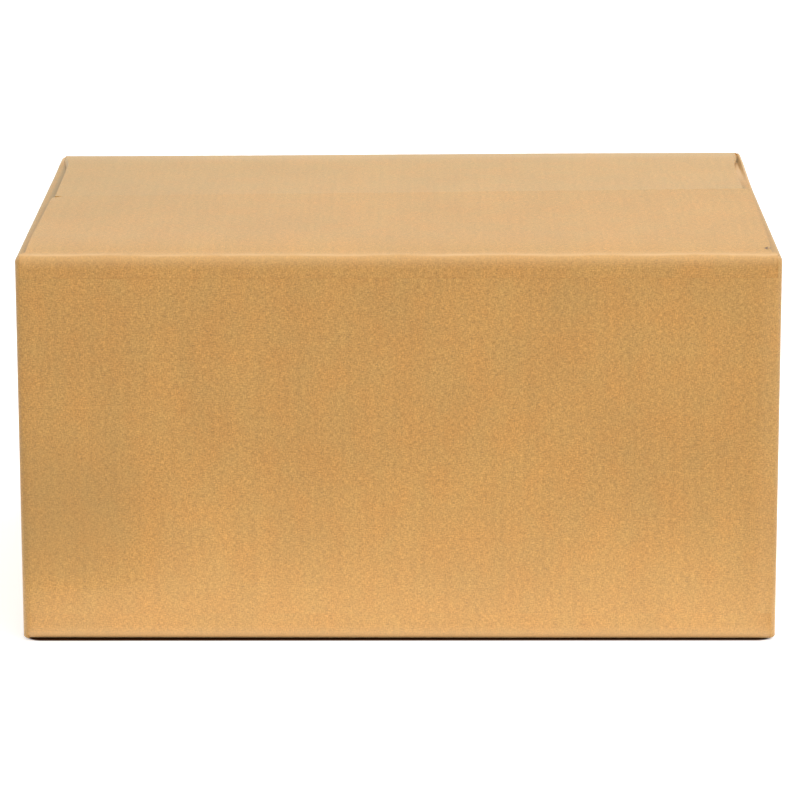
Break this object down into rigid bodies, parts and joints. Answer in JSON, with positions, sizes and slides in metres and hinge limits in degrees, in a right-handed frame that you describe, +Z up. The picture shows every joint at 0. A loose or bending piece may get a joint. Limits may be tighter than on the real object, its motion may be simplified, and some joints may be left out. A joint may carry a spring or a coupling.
{
  "type": "corrugated cardboard box",
  "caption": "Closed slotted cardboard box of corrugated board for packing and posting goods, with the outer top flaps hinged so that it opens.",
  "frame": {"origin": "centre of the base, on the surface that the box stands on", "axes": "+X along the width, left to right as the front is seen; +Y from the front to the back; +Z up"},
  "size_m": [0.3108, 0.2346, 0.168],
  "materials": {
    "board": "matt kraft liner with a faint washboard from the flutes"
  },
  "bodies": {
    "case": {"case_body": "board"},
    "front_flap": {"front_top_flap": "board"},
    "back_flap": {"back_top_flap": "board"}
  },
  "joints": [
    {"name": "front_flap_fold", "type": "hinge", "parent": "case", "child": "front_flap", "pos_m": [0, -0.1173, 0.15838], "axis": [1, 0, 0], "range_deg": [0, 180]},
    {"name": "back_flap_fold", "type": "hinge", "parent": "case", "child": "back_flap", "pos_m": [0, 0.1173, 0.15838], "axis": [-1, 0, 0], "range_deg": [0, 180]}
  ]
}
